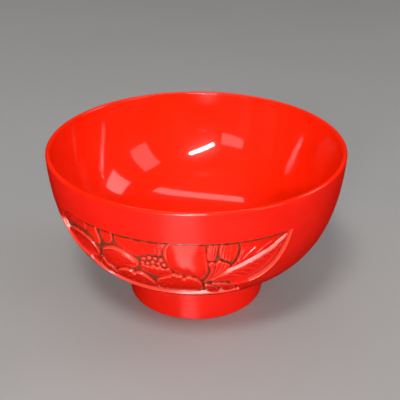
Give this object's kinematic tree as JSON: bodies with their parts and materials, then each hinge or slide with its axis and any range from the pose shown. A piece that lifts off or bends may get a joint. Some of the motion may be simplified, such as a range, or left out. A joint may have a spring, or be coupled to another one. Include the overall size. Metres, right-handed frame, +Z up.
{
  "type": "rice bowl",
  "caption": "Round rice bowl on a foot ring: red lacquer over turned wood, with a sunk panel carved with a peony, its buds and its leaves on the front.",
  "frame": {"origin": "centre of the foot ring's resting face", "axes": "+Z up along the axis of turning, -Y towards the carved panel, +X to the right of someone who looks at the panel"},
  "size_m": [0.12, 0.12, 0.0667],
  "materials": {
    "turned_wood": "turned close-grained wood, hidden under the lacquer",
    "gloss_lacquer": "polished vermilion lacquer, mirror gloss",
    "satin_lacquer": "satin vermilion lacquer, soft broad highlights",
    "toned_lacquer": "matt red lacquer rubbed with olive-brown toning powder",
    "petal_lacquer": "satin vermilion lacquer, toned brown in the grooves",
    "leaf_lacquer": "satin vermilion lacquer with engraved veins, toned in the grooves"
  },
  "bodies": {
    "root": {"wood_body": "turned_wood", "wood_foot": "turned_wood", "inner_lacquer": "gloss_lacquer", "lip_lacquer": "gloss_lacquer", "outer_lacquer": "satin_lacquer", "foot_lacquer": "satin_lacquer", "foot_well_lacquer": "satin_lacquer", "panel_ground": "toned_lacquer", "round_petal": "petal_lacquer", "lower_middle_petal": "petal_lacquer", "lower_left_petal": "petal_lacquer", "left_petal": "petal_lacquer", "upper_petal": "petal_lacquer", "inner_petal": "petal_lacquer", "far_left_petal": "petal_lacquer", "strip_petal": "petal_lacquer", "stamens": "petal_lacquer", "calyx": "petal_lacquer", "slim_bud": "petal_lacquer", "full_bud": "petal_lacquer", "left_bud": "petal_lacquer", "right_leaf_upper_blade": "leaf_lacquer", "right_leaf_lower_blade": "leaf_lacquer", "right_leaf_midrib": "leaf_lacquer", "short_low_leaf": "leaf_lacquer", "long_low_leaf": "leaf_lacquer", "upper_left_leaf": "leaf_lacquer", "large_left_leaf": "leaf_lacquer", "small_left_leaf": "leaf_lacquer"}
  },
  "joints": []
}
